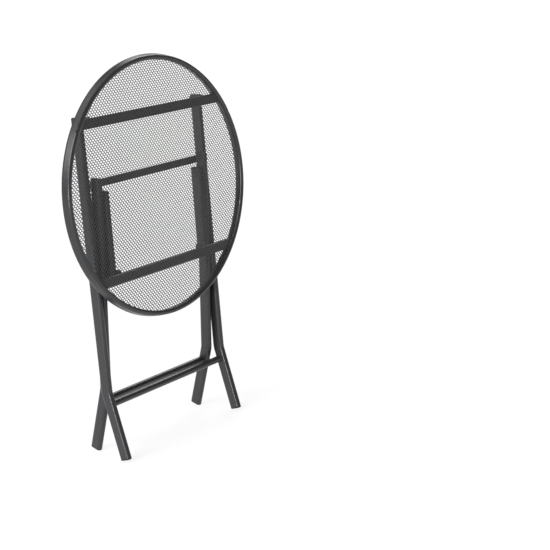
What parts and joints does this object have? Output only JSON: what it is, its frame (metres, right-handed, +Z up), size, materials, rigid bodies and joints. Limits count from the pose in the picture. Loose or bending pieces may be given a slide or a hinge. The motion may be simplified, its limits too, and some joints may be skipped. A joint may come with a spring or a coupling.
{
  "type": "folding bistro table",
  "caption": "Round folding bistro table with a mesh top in a rolled rim, on a scissor of bent flat-oval tube legs, shown folded flat and standing.",
  "frame": {"origin": "on the floor, at the middle of the footprint, straight below the scissor pivot", "axes": "+Z up; +X along every pivot, across the table; -Y the way the table top's upper face looks when folded"},
  "size_m": [0.6, 0.14, 0.8983],
  "materials": {
    "anthracite_coat": "satin powder coat",
    "mesh_coat": "satin powder coat",
    "fastener_coat": "satin black",
    "black_plastic": "moulded, slightly textured"
  },
  "bodies": {
    "scissor_pivot": {"scissor_bolts": "fastener_coat", "scissor_spacers": "black_plastic", "scissor_collars": "fastener_coat"},
    "outer_frame": {"outer_leg_left": "anthracite_coat", "outer_leg_right": "anthracite_coat", "outer_foot_left": "black_plastic", "outer_foot_right": "black_plastic", "outer_stretcher": "anthracite_coat", "outer_top_plugs": "black_plastic"},
    "inner_frame": {"inner_leg_left": "anthracite_coat", "inner_leg_right": "anthracite_coat", "inner_foot_left": "black_plastic", "inner_foot_right": "black_plastic", "inner_stretcher": "anthracite_coat", "inner_top_plugs": "black_plastic", "inner_strap": "anthracite_coat", "leg_rivets": "fastener_coat", "brace_spacers": "black_plastic"},
    "table_top": {"top_ring": "anthracite_coat", "mesh_panel": "mesh_coat", "hinge_rail": "anthracite_coat", "brace_rail": "anthracite_coat", "hinge_lug_left": "anthracite_coat", "hinge_lug_right": "anthracite_coat", "brace_lug_left": "anthracite_coat", "brace_lug_right": "anthracite_coat", "hinge_bolts": "fastener_coat", "hinge_nuts": "fastener_coat", "brace_bolts": "fastener_coat", "brace_nuts": "fastener_coat"},
    "braces": {"brace_left": "anthracite_coat", "brace_right": "anthracite_coat", "brace_plugs": "black_plastic", "brace_rivets": "fastener_coat"}
  },
  "joints": [
    {"name": "outer_legs", "type": "hinge", "parent": "scissor_pivot", "child": "outer_frame", "pos_m": [0, 0, 0.42106], "axis": [-1, 0, 0], "range_deg": [0, 26.35]},
    {"name": "inner_legs", "type": "hinge", "parent": "scissor_pivot", "child": "inner_frame", "pos_m": [0, 0, 0.42106], "axis": [1, 0, 0], "range_deg": [0, 26.35]},
    {"name": "top_hinge", "type": "hinge", "parent": "outer_frame", "child": "table_top", "pos_m": [0, 0.01509, 0.76873], "axis": [-1, 0, 0], "range_deg": [0, 60.28]},
    {"name": "brace_hinge", "type": "hinge", "parent": "table_top", "child": "braces", "pos_m": [0, -0.01294, 0.42078], "axis": [-1, 0, 0], "range_deg": [0, 60.36]}
  ],
  "couplings": [
    {"joint": "inner_legs", "follows": "outer_legs", "ratio": 1},
    {"joint": "top_hinge", "follows": "outer_legs", "ratio": 2.2877},
    {"joint": "brace_hinge", "follows": "outer_legs", "ratio": 2.2909}
  ]
}
